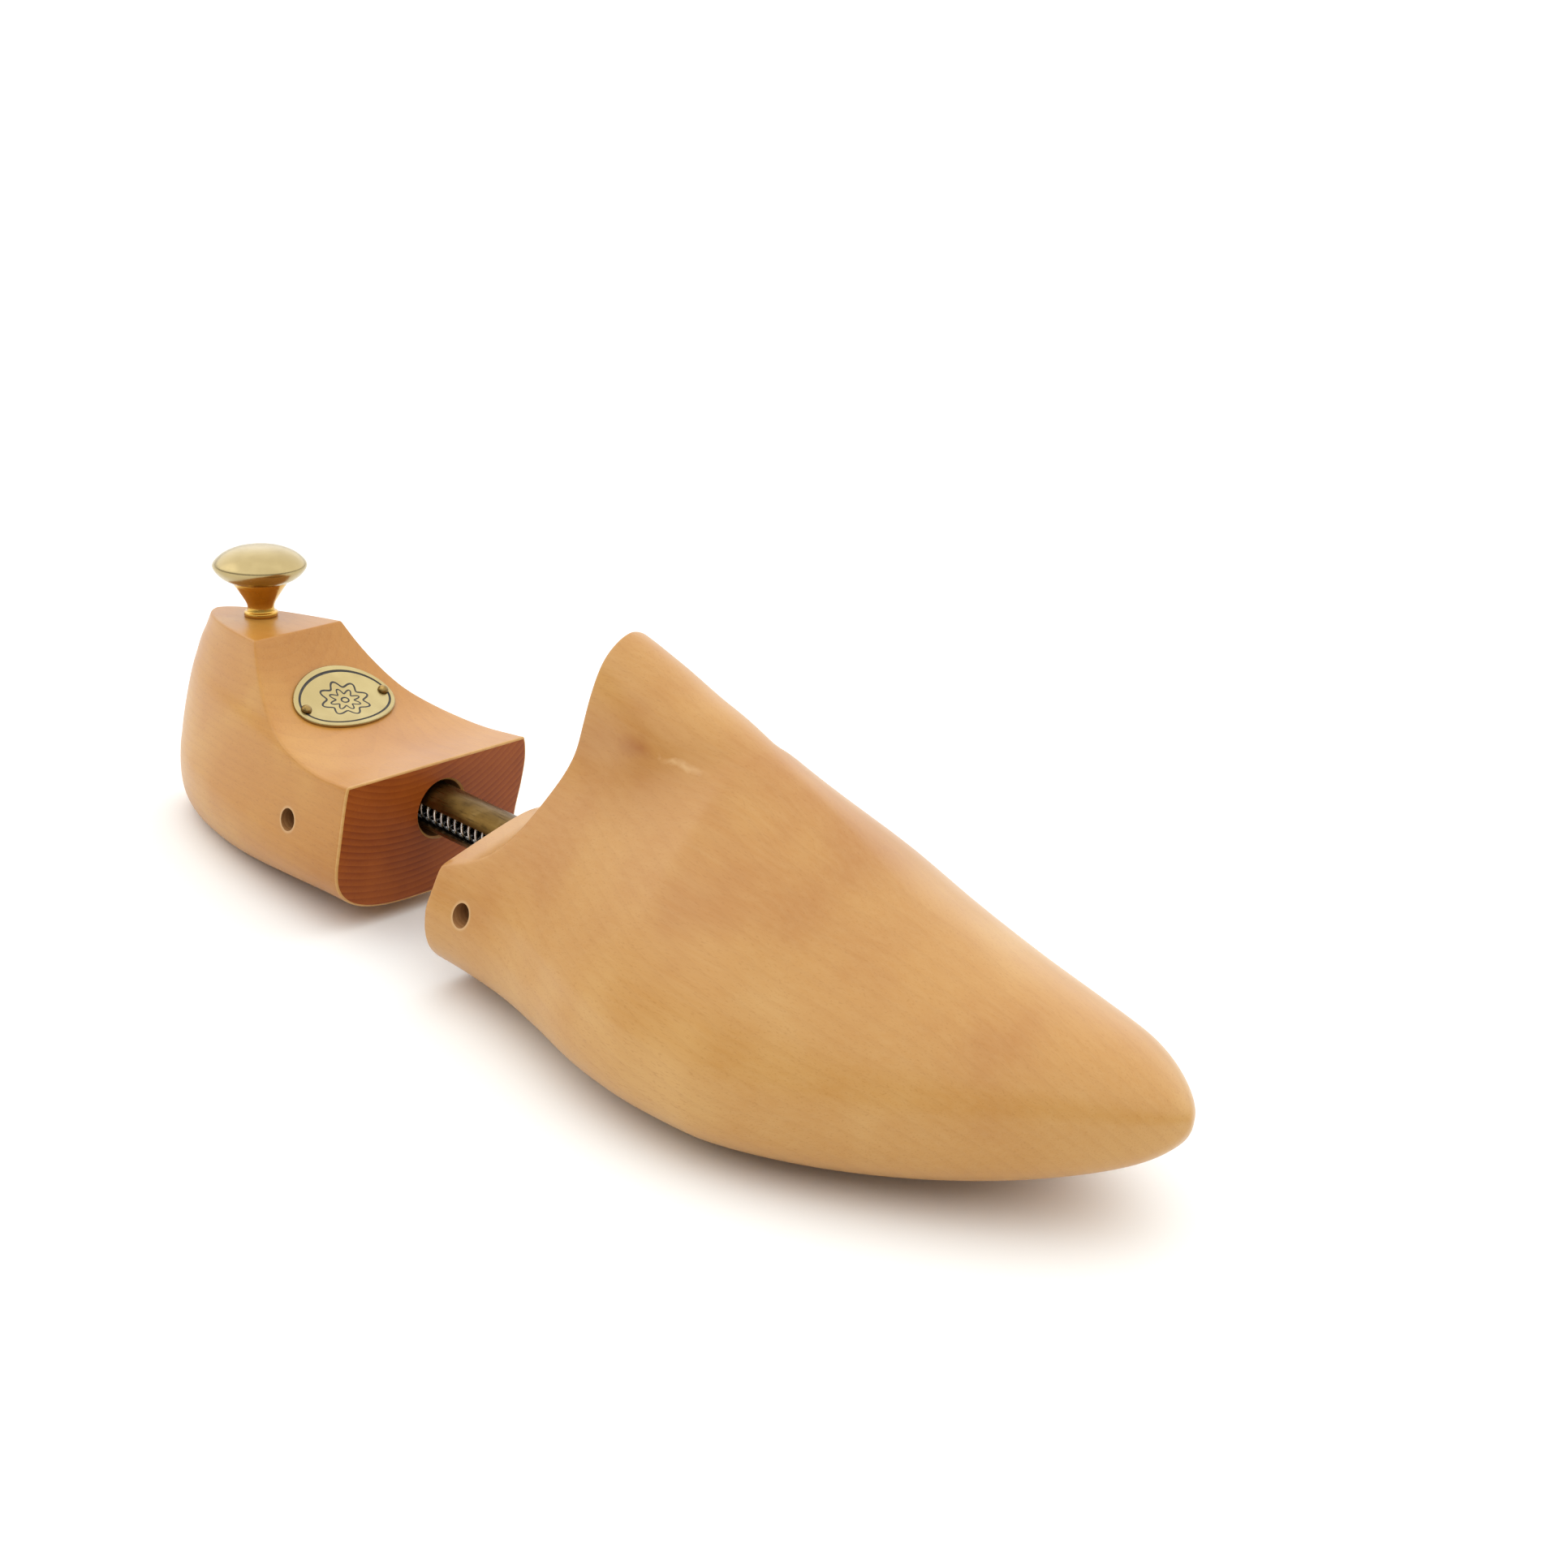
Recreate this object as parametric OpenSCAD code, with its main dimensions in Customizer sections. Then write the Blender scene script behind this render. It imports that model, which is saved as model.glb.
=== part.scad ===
// Sprung shoe tree for a right shoe: a carved wooden forepart and heel block
// joined by a slotted brass tube that holds a coil spring, with a brass pull
// knob and an oval brass plate on the heel. Millimetres, floor at z = 0,
// toe along +X, inner side of the foot along +Y.

/* [Tube and spring] */
// Outside diameter of the brass tube
tube_d = 11.6; // [9:0.1:14]
// Wall of the brass tube
tube_wall = 1.0; // [0.6:0.1:1.6]
// Width of the two side slots in the tube
slot_w = 5.0; // [3:0.1:6]
// Outside diameter of the spring
spring_d = 9.0; // [6:0.1:9.4]
// Wire diameter of the spring
wire_d = 1.0; // [0.6:0.1:1.4]
// Number of coils in the spring
coils = 25; // [15:1:32]
// Diameter of the two cross pins
pin_d = 4.8; // [3:0.1:5]
// Diameter of the open recess over each end of a cross pin
recess_d = 5.1; // [5:0.1:8]

/* [Knob] */
// Rim diameter of the pressed knob dome
knob_d = 22.6; // [16:0.1:30]
// Wall of the pressed knob dome
dome_wall = 0.7; // [0.4:0.1:1.2]
// Smallest diameter of the turned neck
neck_d = 6.4; // [4:0.1:10]
// Diameter of the screw that holds the knob
screw_d = 4.0; // [3:0.1:5]

/* [Plate] */
// Length of the oval plate across the heel
plate_l = 28.5; // [20:0.5:36]
// Width of the oval plate along the saddle
plate_w = 19; // [12:0.2:24]
// Thickness of the plate sheet
plate_t = 0.8; // [0.4:0.1:1.5]
// Head diameter of the plate pins
nail_d = 2.6; // [1.5:0.1:4]

/* [Wood] */
// Gap between heel block and forepart with the spring at rest
gap = 30.2; // [24:0.1:40]
// Facets around each wooden section
ring_n = 44; // [24:4:64]
// Sections along the forepart
long_n = 40; // [20:1:60]
// Facets around the heel
heel_n = 44; // [24:2:64]

/* [Hidden] */

mid_x = 122.8;          // knob axis to the middle of the whole length
mid_y = -0.96;          // heel centre line to the middle of the whole width
axis_y = 1.3;           // tube axis from the heel centre line
axis_z = 24.4;          // height of the tube axis
deck_z = 51.2;          // heel top at the knob axis
deck_g = 0.11;          // slope of the heel top, falling to the back
deck_a = atan(deck_g);
heel_x = 64.8;          // knob axis to the front face of the heel block
fore_x = heel_x + gap;  // knob axis to the rear face of the forepart
toe_x = fore_x + 172;   // knob axis to the tip of the toe
hpin_x = 45.6;          // knob axis to the cross pin in the heel block
pin_roll = 4.5;         // lean of both cross pins about the tube axis
fpin_x = fore_x + 11;  // knob axis to the cross pin in the forepart
knob_x = -2.5;          // foot of the knob from the reference axis
knob_y = 2.4;
edge_x = 14.4;          // front edge of the flat top, where the saddle starts
plate_x = 29.8;         // plate centre along X
plate_y = 1.2;          // plate centre across
nail_y = 11.9;          // plate pin from the plate centre

// Smooth curve through a short list of [position, value] pairs.
function span_of(p, x, i = 0) =
    (i >= len(p) - 2 || x < p[i + 1][0]) ? i : span_of(p, x, i + 1);
function grade(p, i) = let (a = max(i - 1, 0), b = min(i + 1, len(p) - 1))
    (p[b][1] - p[a][1]) / (p[b][0] - p[a][0]);
function curve(p, x) =
    let (i = span_of(p, x), h = p[i + 1][0] - p[i][0],
         t = min(1, max(0, (x - p[i][0]) / h)),
         m0 = grade(p, i) * h, m1 = grade(p, i + 1) * h)
    p[i][1] * (2 * t * t * t - 3 * t * t + 1) + m0 * (t * t * t - 2 * t * t + t)
    + p[i + 1][1] * (3 * t * t - 2 * t * t * t) + m1 * (t * t * t - t * t);
function ease(t) = let (u = min(1, max(0, t))) u * u * (3 - 2 * u);

// ---- heel block: outlines at each height, narrow at the top, full below
function heel_w(z) = curve([[17, 30.2], [24, 29.6], [31.5, 28.9], [36, 28.2],
    [38.7, 26.9], [44, 25.4], [48, 24.4], [54, 22.9]], z);
function heel_back(z) = curve([[17, -20.8], [24, -21.4], [33, -20.8], [42, -18.8],
    [47, -16.7], [54, -14.3]], z);
function heel_nose(z) = curve([[17, 1.05], [24, 1.3], [36, 1.73], [42, 1.87],
    [54, 2.1]], z);
// the inner side draws in below its widest height
function heel_inner(z) = curve([[0, 0.8], [10, 0.82], [18, 0.86], [25, 0.925], [31, 0.965],
    [36, 0.965], [44, 0.955], [54, 0.94]], z);
function heel_floor(x) = -0.5 + 4 * ease((x - 12) / 53);
// v runs 0 (flat top) .. 1 (widest) .. 2 (underside)
function heel_pt(a, v) =
    let (z0 = v <= 1 ? 54 - 37 * v : 17,
         d = v <= 1 ? 0 : pow(sin(90 * (v - 1)), 0.74),
         k = v <= 1 ? 1 : pow(cos(90 * (v - 1)), 0.74),
         s = sin(a),
         cut = (1 - k) * (10 + 17 * s * s),
         x = heel_x - (heel_x - heel_back(z0) - cut * cos(a))
             * pow(max(0, cos(a)), heel_nose(z0)),
         z = v <= 1 ? z0 : 17 - (17 - heel_floor(x)) * d,
         y = s * max(0.01, heel_w(z0) - cut) * (s > 0 ? heel_inner(z) : 1))
    [x, y, max(0, z)];
// saddle of the heel block, from the flat top down to the front face
function heel_saddle(x) = curve([[14.4, 52.8], [18, 48.4], [22, 44.5], [26, 41.4],
    [30, 39.1], [35, 37.3], [40, 36.2], [45, 35.6], [50, 35.3], [55, 35.4],
    [60, 35.9], [66, 36.6]], x);

module heel_shell() {
    m = heel_n;
    r1 = 14; r2 = 12;
    vs = [for (i = [0:r1]) i / r1, for (i = [1:r2]) 1 + i / r2];
    rows = len(vs);
    pts = [for (v = vs, j = [0:m]) heel_pt(-90 + 180 * j / m, v)];
    function id(i, j) = i * (m + 1) + j;
    sides = [for (i = [0:rows - 2], j = [0:m - 1])
        each [[id(i, j), id(i + 1, j), id(i + 1, j + 1)],
              [id(i, j), id(i + 1, j + 1), id(i, j + 1)]]];
    top = [[for (j = [0:m]) id(0, j)]];
    front = [concat([for (i = [0:rows - 1]) id(rows - 1 - i, 0)],
                    [for (i = [0:rows - 1]) id(i, m)])];
    last = rows - 1;
    under = [for (j = [0:m / 2 - 1])
        each j == m / 2 - 1 ? [[id(last, j), id(last, m - j), id(last, j + 1)]]
            : [[id(last, j), id(last, m - j), id(last, m - j - 1)],
               [id(last, j), id(last, m - j - 1), id(last, j + 1)]]];
    polyhedron(pts, concat(sides, top, front, under), convexity = 6);
}

// ---- forepart: sections along the length, given from its rear face
function fore_top(x) = curve([[0, 87.5], [15, 87], [25, 85.4], [35, 82.2], [45, 78.4],
    [55, 75.6], [65, 72.3], [85, 65.1], [105, 54.9], [125, 47], [145, 41.3], [172, 35]], x);
function fore_dome(x) = x > 65 ? fore_top(x) : min(fore_top(x),
    curve([[0, 57], [10, 60], [25, 63.5], [45, 68], [65, 72.3]], x));
function fore_low(x) = curve([[0, 1.5], [25, 1.2], [50, 0.1], [70, -0.5], [90, -0.4],
    [110, 1.1], [130, 4.2], [145, 8], [160, 13.3], [172, 16.5]], x);
function fore_wide(x) = curve([[0, 18.5], [35, 17], [75, 17.2], [105, 18.4], [135, 21.1],
    [160, 25.7], [172, 27.6]], x);
function fore_mid(x) = curve([[0, 0], [55, -1], [80, -1.1], [100, -0.3], [120, 2],
    [140, 5.7], [155, 8.6], [172, 9.8]], x);
function fore_half(x) = x < 90 ? curve([[0, 31.6], [10, 31.9], [25, 33.7], [40, 37.5],
    [55, 42.1], [70, 44.7], [83, 45.2], [90, 45.2], [97, 45.1]], x)
    : 45.2 * pow(max(0, 1 - pow((x - 90) / 82, 1.27)), 0.646);
function fore_fin(x) = max(0, curve([[0, 11], [25, 11.9], [45, 14.8], [65, 12.5],
    [85, 6.6], [100, 0], [172, 0]], x));
function fore_p(x) = curve([[0, 1.3], [45, 1.3], [65, 1.4], [105, 1.8], [145, 2],
    [172, 2]], x);
function fore_s(x) = curve([[0, 0.85], [45, 0.8], [65, 0.75], [105, 0.6], [145, 0.5],
    [172, 0.5]], x);
function nose(x) = x < 150 ? 1 : sqrt(max(0, 1 - pow((x - 150) / 22, 2.5)));
function fore_side(x, z) =
    let (zw = fore_wide(x),
         u = min(1, (z - zw) / (fore_dome(x) - zw)),
         w = min(1, (z - zw) / (fore_top(x) - zw)),
         base = fore_half(x) * pow(max(0, 1 - pow(u, fore_p(x))), fore_s(x)),
         fin = fore_fin(x) * sqrt(max(0, 1 - pow(w, 7))))
    pow(pow(base, 3) + pow(fin, 3), 1 / 3);
// b runs 0 (underside) .. 1 (widest) .. 2 (ridge) on one side
function fore_pt(x, b, side) =
    let (zw = fore_wide(x), f = nose(x), e = min(1, max(0, b)),
         zu = b <= 1 ? zw - (zw - fore_low(x)) * pow(cos(90 * e), 0.74)
                     : zw + (fore_top(x) - zw) * sin(90 * (b - 1)),
         w = b <= 1 ? fore_half(x) * pow(sin(90 * e), 0.74) : fore_side(x, zu))
    [fore_x + x, fore_mid(x) + side * w, max(0, zw + (zu - zw) * f)];

module fore_shell() {
    h = ring_n / 2;
    xs = [for (i = [0:long_n - 1]) 172 * (1 - pow(1 - i / long_n, 1.7))];
    ring = concat([for (j = [0:h]) [2 * j / h, -1]],
                  [for (j = [1:h - 1]) [2 - 2 * j / h, 1]]);
    n = len(ring);
    pts = concat([for (x = xs, r = ring) fore_pt(x, r[0], r[1])],
                 [[toe_x, fore_mid(172), fore_wide(172)]]);
    function id(i, j) = i * n + (j % n);
    skin = [for (i = [0:long_n - 2], j = [0:n - 1])
        each [[id(i, j), id(i + 1, j + 1), id(i + 1, j)],
              [id(i, j), id(i, j + 1), id(i + 1, j + 1)]]];
    rear = [[for (j = [0:n - 1]) id(0, n - 1 - j)]];
    tip = [for (j = [0:n - 1]) [id(long_n - 1, j), id(long_n - 1, j + 1), long_n * n]];
    polyhedron(pts, concat(skin, rear, tip), convexity = 6);
}

// Scoop behind the instep: rises along X, falls away to both sides.
scoop_path = [[-8, 32], [0, 35.5], [7, 38], [12, 41], [16.5, 46], [19.5, 52.5],
    [21.8, 59.5], [23.2, 68], [24, 76], [24.4, 81.5], [25, 85], [26.5, 90]];
function scoop_drop(y) = 0.3 * (sqrt(y * y + 36) - 6);
module scoop_tool() {
    n = len(scoop_path);
    ys = [for (k = [0:20]) -50 + 5 * k];
    m = len(ys);
    low = [for (y = ys, p = scoop_path) [fore_x + p[0], y, p[1] - scoop_drop(y)]];
    back = [for (y = ys) each [[fore_x - 20, y, 110], [fore_x + 26.5, y, 110],
                               [fore_x - 20, y, 32 - scoop_drop(y)]]];
    function a(k, i) = k * n + i;
    function b(k, i) = m * n + 3 * k + i;
    function loop(k) = concat([for (i = [0:n - 1]) a(k, i)], [b(k, 1), b(k, 0), b(k, 2)]);
    walls = [for (k = [0:m - 2]) let (p = loop(k), q = loop(k + 1), c = len(p))
        each [for (i = [0:c - 1]) each [[p[i], q[(i + 1) % c], q[i]],
                                        [p[i], p[(i + 1) % c], q[(i + 1) % c]]]]];
    e0 = loop(0);
    e1 = loop(m - 1);
    ends = [[for (i = [0:len(e0) - 1]) e0[len(e0) - 1 - i]], e1];
    polyhedron(concat(low, back), concat(walls, ends), convexity = 6);
}

// Cylinder along X, and cylinder across Y, both at the tube axis.
module rod_x(x0, x1, d) {
    translate([x0, axis_y, axis_z]) rotate([0, 90, 0]) cylinder(d = d, h = x1 - x0, $fn = 64);
}
module rod_y(x, half, d) {
    translate([x, axis_y, axis_z]) rotate([90 + pin_roll, 0, 0])
        cylinder(d = d, h = 2 * half, center = true, $fn = 48);
}
// Open recess over one end of a cross pin.
module recess(x, s, from) {
    translate([x, axis_y, axis_z]) rotate([pin_roll - 90 * s, 0, 0])
        translate([0, 0, from]) cylinder(d = recess_d, h = 20, $fn = 48);
}
module place() { translate([-mid_x, -mid_y, 0]) children(); }
module on_deck() {
    translate([knob_x, knob_y, deck_z + deck_g * knob_x]) rotate([0, -deck_a, 0]) children();
}

module forepart() {
    color("#cda06a") place() difference() {
        fore_shell();
        scoop_tool();
        rod_x(fore_x - 1, fore_x + 27.2, tube_d + 0.1);
        rod_y(fpin_x, 24.2, pin_d + 0.1);
        for (s = [-1, 1]) recess(fpin_x, s, 24);
    }
}

module heel_block() {
    color("#d6b07c") place() difference() {
        heel_shell();
        translate([0, 40, 0]) rotate([90, 0, 0]) linear_extrude(80)
            polygon(concat([[-30, deck_z - 30 * deck_g]],
                [for (i = [0:26]) let (x = edge_x + (66 - edge_x) * i / 26)
                    [x, heel_saddle(x)]], [[66, 70], [-30, 70]]));
        rod_x(3, heel_x + 1, tube_d + 0.1);
        rod_x(heel_x - 7, heel_x + 1, 14);
        translate([heel_x - 0.5, axis_y, axis_z]) rotate([0, 90, 0])
            cylinder(d1 = 14, d2 = 16, h = 1, $fn = 64);
        rod_y(hpin_x, 19.2, pin_d + 0.1);
        for (s = [-1, 1]) recess(hpin_x, s, 19);
        on_deck() translate([0, 0, -18.8]) cylinder(d = screw_d + 0.1, h = 30, $fn = 36);
        for (s = [-1, 1]) on_saddle(s) translate([0, 0, -7])
            cylinder(d = 1.5, h = 12, $fn = 24);
    }
}

// Slotted tube, fixed in the forepart, on which the heel block slides.
module tube() {
    color("#a8924a") place() difference() {
        rod_x(30, fore_x + 27, tube_d);
        rod_x(29, fore_x + 28, tube_d - 2 * tube_wall);
        translate([hpin_x - slot_w / 2, axis_y, axis_z]) slot_y(43.5);
        rod_y(fpin_x, 12, pin_d + 0.1);
    }
}
module slot_y(l) {
    rotate([90 + pin_roll, 0, 0]) translate([0, 0, -12]) linear_extrude(24) hull() {
        translate([slot_w / 2, 0]) circle(d = slot_w, $fn = 32);
        translate([l - slot_w / 2, 0]) circle(d = slot_w, $fn = 32);
    }
}

// Compression spring inside the tube, between the two cross pins.
module spring() {
    x0 = hpin_x + pin_d / 2 + wire_d / 2 + 0.1;
    x1 = fpin_x - pin_d / 2 - wire_d / 2 - 0.1;
    steps = coils * 14;
    r = (spring_d - wire_d) / 2;
    function lead(t) = let (n = coils * t)
        n < 1 ? n * wire_d * 1.1
        : n > coils - 1 ? (x1 - x0) - (coils - n) * wire_d * 1.1
        : wire_d * 1.1 + (x1 - x0 - 2.2 * wire_d) * (n - 1) / (coils - 2);
    pts = [for (i = [0:steps], j = [0:5]) let (t = i / steps, a = 360 * coils * t,
        q = r + wire_d / 2 * cos(60 * j))
        [x0 + lead(t) + wire_d / 2 * sin(60 * j), axis_y + q * cos(a),
         axis_z + q * sin(a)]];
    skin = [for (i = [0:steps - 1], j = [0:5]) let (k = (j + 1) % 6)
        each [[i * 6 + j, (i + 1) * 6 + k, (i + 1) * 6 + j],
              [i * 6 + j, i * 6 + k, (i + 1) * 6 + k]]];
    ends = [[for (j = [0:5]) 5 - j], [for (j = [0:5]) steps * 6 + j]];
    color("#b9bcc0") place() polyhedron(pts, concat(skin, ends), convexity = 10);
}

module heel_pin() {
    color("#6d5a3a") place() rod_y(hpin_x, 19, pin_d);
}
module forepart_pin() {
    color("#6d5a3a") place() rod_y(fpin_x, 24, pin_d);
}

// Knob: a pressed dome closed over the head of a turned neck.
module knob_dome() {
    r = knob_d / 2;
    t = dome_wall;
    color("#d8c890") place() on_deck() rotate_extrude($fn = 72)
        polygon([[6.8, 8.6], [7.6, 8.88], [8.5, 9.3], [9.4, 9.9], [10.2, 10.65], [10.85, 11.45],
            [11.2, 12.1], [r, 12.7], [10.95, 13.4], [10.05, 14.36], [8.9, 15.23],
            [7.4, 16], [5.6, 16.6], [3.4, 16.97], [0, 17.1], [0, 17.1 - t],
            [3.3, 16.97 - t], [5.4, 16.62 - t], [7.1, 16.05 - t], [8.5, 15.35 - t],
            [9.6, 14.55 - t], [10.35, 13.05], [10.6, 12.6], [10.5, 12.2], [10.2, 11.7],
            [9.65, 11.05], [8.95, 10.4], [8.15, 9.9], [7.35, 9.52], [6.8, 9.35]]);
}
module knob_neck() {
    n = neck_d / 2;
    color("#d2bf82") place() on_deck() difference() {
        rotate_extrude($fn = 72)
            polygon([[0, 0.02], [3.9, 0.02], [4.05, 0.2], [4.05, 1.05], [3.85, 1.25],
                [n + 0.15, 1.45], [n, 2.3], [n + 0.25, 3.3], [n + 0.75, 4.2], [n + 1.27, 5.05],
                [n + 1.84, 5.9], [n + 2.42, 6.8], [n + 3, 7.65], [6.6, 8.4], [6.7, 9.45],
                [7.3, 9.65], [8.1, 10.03], [8.85, 10.5], [9.5, 11.12], [10, 11.75],
                [10.3, 12.3], [10.3, 12.6], [0, 13.2]]);
        translate([0, 0, -1]) cylinder(d = screw_d + 0.1, h = 9, $fn = 36);
    }
}
module knob_screw() {
    r = screw_d / 2;
    color("#9a9a98") place() on_deck() translate([0, 0, -18.5]) rotate_extrude($fn = 36)
        polygon(concat([[0, 0], [0.5, 0.3], [r - 0.3, 2.6]],
            [for (i = [0:15]) each [[r, 3 + i * 1.3], [r - 0.3, 3.65 + i * 1.3]]],
            [[r, 24], [r - 0.3, 26.2], [0, 26.2]]));
}

// Frame on the saddle at a plate pin: z up along the surface normal.
module on_saddle(s) {
    g = (heel_saddle(plate_x + 0.5) - heel_saddle(plate_x - 0.5));
    translate([plate_x, plate_y + s * nail_y, heel_saddle(plate_x)])
        rotate([0, -atan(g), 0]) children();
}
module name_plate() {
    n = 48;
    rings = 8;
    g = heel_saddle(plate_x + 0.5) - heel_saddle(plate_x - 0.5);
    run = 1 / sqrt(1 + g * g);
    function at(r, a, h) = let (x = plate_x + plate_w / 2 * run * r * cos(a),
            q = heel_saddle(x + 0.5) - heel_saddle(x - 0.5), l = sqrt(1 + q * q))
        [x - q / l * h, plate_y + plate_l / 2 * r * sin(a), heel_saddle(x) + h / l];
    hs = [0.06, 0.06 + plate_t];
    pts = [for (h = hs) each concat([at(0, 0, h)],
        [for (k = [1:rings], j = [0:n - 1]) at(k / rings, 360 * j / n, h)])];
    o = 1 + rings * n;
    function id(s, k, j) = s * o + 1 + (k - 1) * n + (j % n);
    function wind(s, t) = s == 1 ? t : [t[0], t[2], t[1]];
    cap = [for (s = [0, 1], j = [0:n - 1]) each concat(
        [wind(s, [s * o, id(s, 1, j + 1), id(s, 1, j)])],
        [for (k = [1:rings - 1]) each [
            wind(s, [id(s, k, j), id(s, k, j + 1), id(s, k + 1, j + 1)]),
            wind(s, [id(s, k, j), id(s, k + 1, j + 1), id(s, k + 1, j)])]])];
    rim = [for (j = [0:n - 1]) each [
        [id(0, rings, j), id(1, rings, j), id(1, rings, j + 1)],
        [id(0, rings, j), id(1, rings, j + 1), id(0, rings, j + 1)]]];
    color("#d9cb93") place() difference() {
        polyhedron(pts, concat(cap, rim), convexity = 4);
        for (s = [-1, 1]) on_saddle(s) translate([0, 0, -3])
            cylinder(d = 1.5, h = 8, $fn = 24);
    }
}
module plate_nail(s) {
    r = nail_d / 2;
    color("#6f5d3c") place() on_saddle(s) rotate_extrude($fn = 36)
        polygon([[0, -6], [0.25, -6], [0.7, -5], [0.7, 1.0], [r, 1.0], [r * 0.97, 1.25],
            [r * 0.8, 1.6], [r * 0.5, 1.85], [0, 1.95]]);
}
module plate_pin_outer() { plate_nail(-1); }
module plate_pin_inner() { plate_nail(1); }

forepart();
heel_block();
tube();
spring();
heel_pin();
forepart_pin();
knob_dome();
knob_neck();
knob_screw();
name_plate();
plate_pin_outer();
plate_pin_inner();
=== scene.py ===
"""Sprung shoe tree for a right shoe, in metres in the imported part's frame."""

import math

import bmesh
import bpy
import numpy as np
from mathutils import Matrix


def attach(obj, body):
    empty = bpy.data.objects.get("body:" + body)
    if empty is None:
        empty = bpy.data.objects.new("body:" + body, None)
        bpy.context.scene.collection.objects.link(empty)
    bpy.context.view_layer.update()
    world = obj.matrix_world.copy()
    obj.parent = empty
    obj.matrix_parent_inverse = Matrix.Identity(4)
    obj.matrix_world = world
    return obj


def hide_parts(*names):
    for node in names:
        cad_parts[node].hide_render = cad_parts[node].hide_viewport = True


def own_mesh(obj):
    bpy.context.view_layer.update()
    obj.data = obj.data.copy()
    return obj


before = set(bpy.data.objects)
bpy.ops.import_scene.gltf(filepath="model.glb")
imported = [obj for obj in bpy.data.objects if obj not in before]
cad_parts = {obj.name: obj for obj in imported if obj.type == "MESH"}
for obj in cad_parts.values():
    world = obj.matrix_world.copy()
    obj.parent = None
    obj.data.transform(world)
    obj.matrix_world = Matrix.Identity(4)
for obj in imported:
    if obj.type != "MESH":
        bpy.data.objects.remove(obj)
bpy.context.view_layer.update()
scene = bpy.context.scene

# ---------------------------------------------------------------- camera
# A long lens looks down on the outer side of the forepart, from the front and
# above. The tree fills the lower left of the square frame.
camera = bpy.data.objects.new("camera", bpy.data.cameras.new("camera"))
camera.data.lens = 67.04
camera.data.sensor_width = 36.0
camera.data.clip_start = 0.02
camera.matrix_world = Matrix((
    (0.75246, -0.32268, 0.57417, 0.38808),
    (0.64969, 0.22045, -0.72754, -0.43692),
    (0.10818, 0.92048, 0.37552, 0.29205),
    (0, 0, 0, 1)))
scene.collection.objects.link(camera)
scene.camera = camera
scene.view_settings.view_transform = "Standard"

# ---------------------------------------------------------------- heel block
# Lime wood, copy-turned on a last lathe, then sawn flat on top and shaped with
# a hollow saddle. Its edges are eased by hand and it has two coats of satin
# clear varnish; the front face is end grain, which drinks it and goes dark, and
# its colour is darkened further by painted shade. The eased rim of the front
# face and the bore's chamfer are painted lighter: a painted highlight.
MM = 0.001
TO_ROW = np.array([-122.8, 0.96, 0.0])   # makers' zero, under the knob, to the row
HEEL_FACE = 64.8
TUBE_Y, TUBE_Z = 1.3, 24.4
DECK_EDGE = 14.4
DECK_HEIGHT, DECK_SLOPE = 51.2, 0.11     # sawn top, at the knob's axis
PIN_LEAN = math.radians(4.5)
PIN_LINE = (0, math.cos(PIN_LEAN), math.sin(PIN_LEAN))
HEEL_PIN_X = 45.6


def curve(pairs, x):
    """Smooth line through [place, value] pairs: on each span a cubic whose end
    slopes are those of the chord between the two neighbouring pairs."""
    p = np.array(pairs, float)
    x = np.asarray(x, float)
    n = len(p)
    i = np.clip(np.searchsorted(p[:, 0], x, side="right") - 1, 0, n - 2)
    a, b = np.maximum(np.arange(n) - 1, 0), np.minimum(np.arange(n) + 1, n - 1)
    slope = (p[b, 1] - p[a, 1]) / (p[b, 0] - p[a, 0])
    h = p[i + 1, 0] - p[i, 0]
    t = np.clip((x - p[i, 0]) / h, 0, 1)
    return (p[i, 1] * (2 * t**3 - 3 * t**2 + 1) + slope[i] * h * (t**3 - 2 * t**2 + t)
            + p[i + 1, 1] * (3 * t**2 - 2 * t**3) + slope[i + 1] * h * (t**3 - t**2))


def unit(v):
    """Each vector divided by its own length."""
    return v / np.maximum(np.linalg.norm(v, axis=-1, keepdims=True), 1e-9)


def eased_edge(corner, down, inward, size, steps=5):
    """Rounding of an edge: corner + size x ((1-u)^2 down + u^2 inward), for u
    from 0 to 1. Returns an array with u as its first axis."""
    u = np.linspace(0, 1, steps).reshape((-1,) + (1,) * corner.ndim)
    return corner + size * ((1 - u) ** 2 * down + u**2 * inward)


def piece(name, sheets, materials, merge=2e-6, sharp=None):
    """One object from grids of points in millimetres. A sheet is (points of
    shape rows x columns x 3, material number); neighbouring grid points make a
    quad, and points that coincide are welded."""
    verts, faces, slots, start = [], [], [], 0
    for grid, slot in sheets:
        r, c = grid.shape[:2]
        k = np.arange(r * c).reshape(r, c) + start
        quads = np.stack([k[:-1, :-1], k[:-1, 1:], k[1:, 1:], k[1:, :-1]], -1).reshape(-1, 4)
        verts.append((grid.reshape(-1, 3) + TO_ROW) * MM)
        faces.append(quads)
        slots.append(np.full(len(quads), slot))
        start += r * c
    mesh = bpy.data.meshes.new(name)
    mesh.from_pydata(np.concatenate(verts).tolist(), [], np.concatenate(faces).tolist())
    mesh.polygons.foreach_set("material_index", np.concatenate(slots).astype(np.int32))
    for m in materials:
        mesh.materials.append(m)
    bm = bmesh.new()
    bm.from_mesh(mesh)
    bmesh.ops.remove_doubles(bm, verts=bm.verts, dist=merge)
    bmesh.ops.dissolve_degenerate(bm, edges=bm.edges, dist=merge)
    bmesh.ops.recalc_face_normals(bm, faces=bm.faces)
    bm.to_mesh(mesh)
    bm.free()
    mesh.polygons.foreach_set("use_smooth", np.ones(len(mesh.polygons), bool))
    if sharp is not None:
        mesh.set_sharp_from_angle(angle=math.radians(sharp))
    made = bpy.data.objects.new(name, mesh)
    scene.collection.objects.link(made)
    return made


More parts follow.
